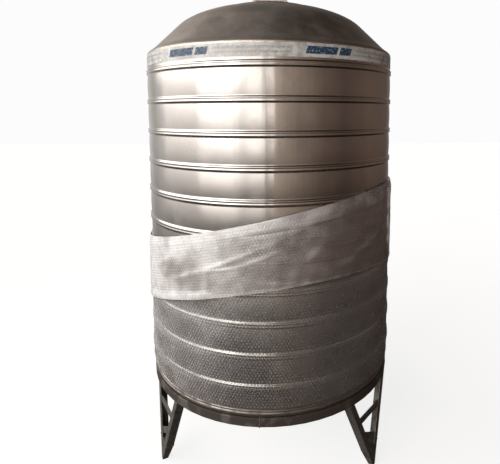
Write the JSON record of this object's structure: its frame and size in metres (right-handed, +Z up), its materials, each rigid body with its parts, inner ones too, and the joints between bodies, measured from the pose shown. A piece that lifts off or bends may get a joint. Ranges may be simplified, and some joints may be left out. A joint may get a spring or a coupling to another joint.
{
  "type": "insulated water tank",
  "caption": "Round double-skinned insulated metal water tank with beaded jacket, domed top and manhole, on a low three-legged stand, half in its bubble wrap.",
  "frame": {"origin": "on the floor, on the tank's axis", "axes": "+Z up along the tank's axis; -Y towards the side in the picture; +X to the right seen from that side"},
  "size_m": [1.0958, 1.0958, 2.0168],
  "materials": {
    "stainless_skin": "satin rolled stainless sheet, broad soft reflections",
    "foam": "rigid polyurethane foam, matte",
    "bubble_film": "bubble film, dusty, half clear",
    "packing_tape": "milky packing tape",
    "stand_steel": "dull dark steel, welded"
  },
  "bodies": {
    "root": {"shell_upper": "stainless_skin", "shell_lower": "stainless_skin", "dome": "stainless_skin", "base_rim": "stainless_skin", "base_plate": "stainless_skin", "manhole_neck": "stainless_skin", "manhole_lid": "stainless_skin", "lid_handle": "stainless_skin", "inner_wall": "stainless_skin", "inner_floor": "stainless_skin", "inner_top": "stainless_skin", "inlet_socket": "stainless_skin", "outlet_socket": "stainless_skin", "foam_wall_1": "foam", "foam_wall_2": "foam", "foam_wall_3": "foam", "foam_wall_4": "foam", "foam_wall_5": "foam", "foam_wall_6": "foam", "foam_wall_7": "foam", "foam_wall_8": "foam", "foam_top_1": "foam", "foam_top_2": "foam", "foam_top_3": "foam", "foam_top_4": "foam", "foam_bottom": "foam", "wrap_lower": "bubble_film", "wrap_band": "bubble_film", "tape_band": "packing_tape", "ring_left": "stand_steel", "ring_right": "stand_steel", "ring_rear": "stand_steel", "ring_spider": "stand_steel", "left_arm_a": "stand_steel", "left_arm_b": "stand_steel", "left_foot": "stand_steel", "left_strut_upper": "stand_steel", "left_strut_lower": "stand_steel", "right_arm_a": "stand_steel", "right_arm_b": "stand_steel", "right_foot": "stand_steel", "right_strut_upper": "stand_steel", "right_strut_lower": "stand_steel", "rear_arm_a": "stand_steel", "rear_arm_b": "stand_steel", "rear_foot": "stand_steel", "rear_strut_upper": "stand_steel", "rear_strut_lower": "stand_steel"}
  },
  "joints": []
}
